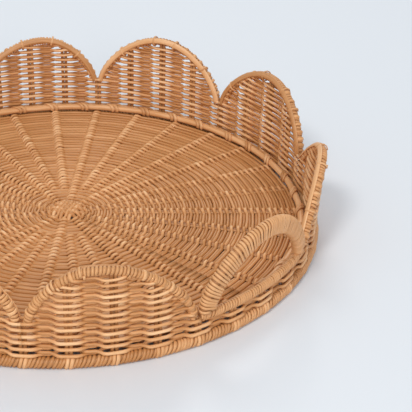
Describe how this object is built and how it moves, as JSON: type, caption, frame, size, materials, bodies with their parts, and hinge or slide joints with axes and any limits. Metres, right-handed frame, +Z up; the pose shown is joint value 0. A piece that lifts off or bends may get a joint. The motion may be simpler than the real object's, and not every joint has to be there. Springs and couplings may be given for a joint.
{
  "type": "serving tray",
  "caption": "Round woven rattan serving tray with a scalloped openwork wall and two opposite scallops formed as wrapped grip handles.",
  "frame": {"origin": "on the table plane, under the centre of the tray's floor", "axes": "+Z up out of the tray, +X towards the middle of one grip handle, -X towards the other"},
  "size_m": [0.42, 0.42, 0.0879],
  "materials": {
    "rattan_rod": "smooth round rattan, satin",
    "floor_cane": "woven round rattan cane, light lacquer",
    "wall_cane": "woven round rattan cane, light lacquer",
    "wrapping_cane": "wound split cane, light lacquer"
  },
  "bodies": {
    "root": {"base_ring_rod": "rattan_rod", "base_ring_winding": "wrapping_cane", "long_spokes": "rattan_rod", "short_spokes": "rattan_rod", "floor_weave_upper": "floor_cane", "floor_weave_lower": "floor_cane", "hub": "floor_cane", "floor_border_rod": "floor_cane", "floor_border_ties": "wrapping_cane", "stakes": "rattan_rod", "wall_base_weave": "wall_cane", "panel_weave_1": "wall_cane", "panel_weave_2": "wall_cane", "panel_weave_3": "wall_cane", "panel_weave_4": "wall_cane", "panel_weave_6": "wall_cane", "panel_weave_7": "wall_cane", "panel_weave_8": "wall_cane", "panel_weave_9": "wall_cane", "rim_rod_1": "rattan_rod", "rim_rod_2": "rattan_rod", "rim_rod_3": "rattan_rod", "rim_rod_4": "rattan_rod", "rim_rod_6": "rattan_rod", "rim_rod_7": "rattan_rod", "rim_rod_8": "rattan_rod", "rim_rod_9": "rattan_rod", "rim_winding_1": "wrapping_cane", "rim_winding_2": "wrapping_cane", "rim_winding_3": "wrapping_cane", "rim_winding_4": "wrapping_cane", "rim_winding_6": "wrapping_cane", "rim_winding_7": "wrapping_cane", "rim_winding_8": "wrapping_cane", "rim_winding_9": "wrapping_cane", "rim_strip_1": "wrapping_cane", "rim_strip_2": "wrapping_cane", "rim_strip_3": "wrapping_cane", "rim_strip_4": "wrapping_cane", "rim_strip_6": "wrapping_cane", "rim_strip_7": "wrapping_cane", "rim_strip_8": "wrapping_cane", "rim_strip_9": "wrapping_cane", "grip_rods_right": "rattan_rod", "grip_rods_left": "rattan_rod", "grip_winding_right": "wrapping_cane", "grip_winding_left": "wrapping_cane", "bar_rod_right": "rattan_rod", "bar_rod_left": "rattan_rod", "bar_winding_right": "wrapping_cane", "bar_winding_left": "wrapping_cane"}
  },
  "joints": []
}
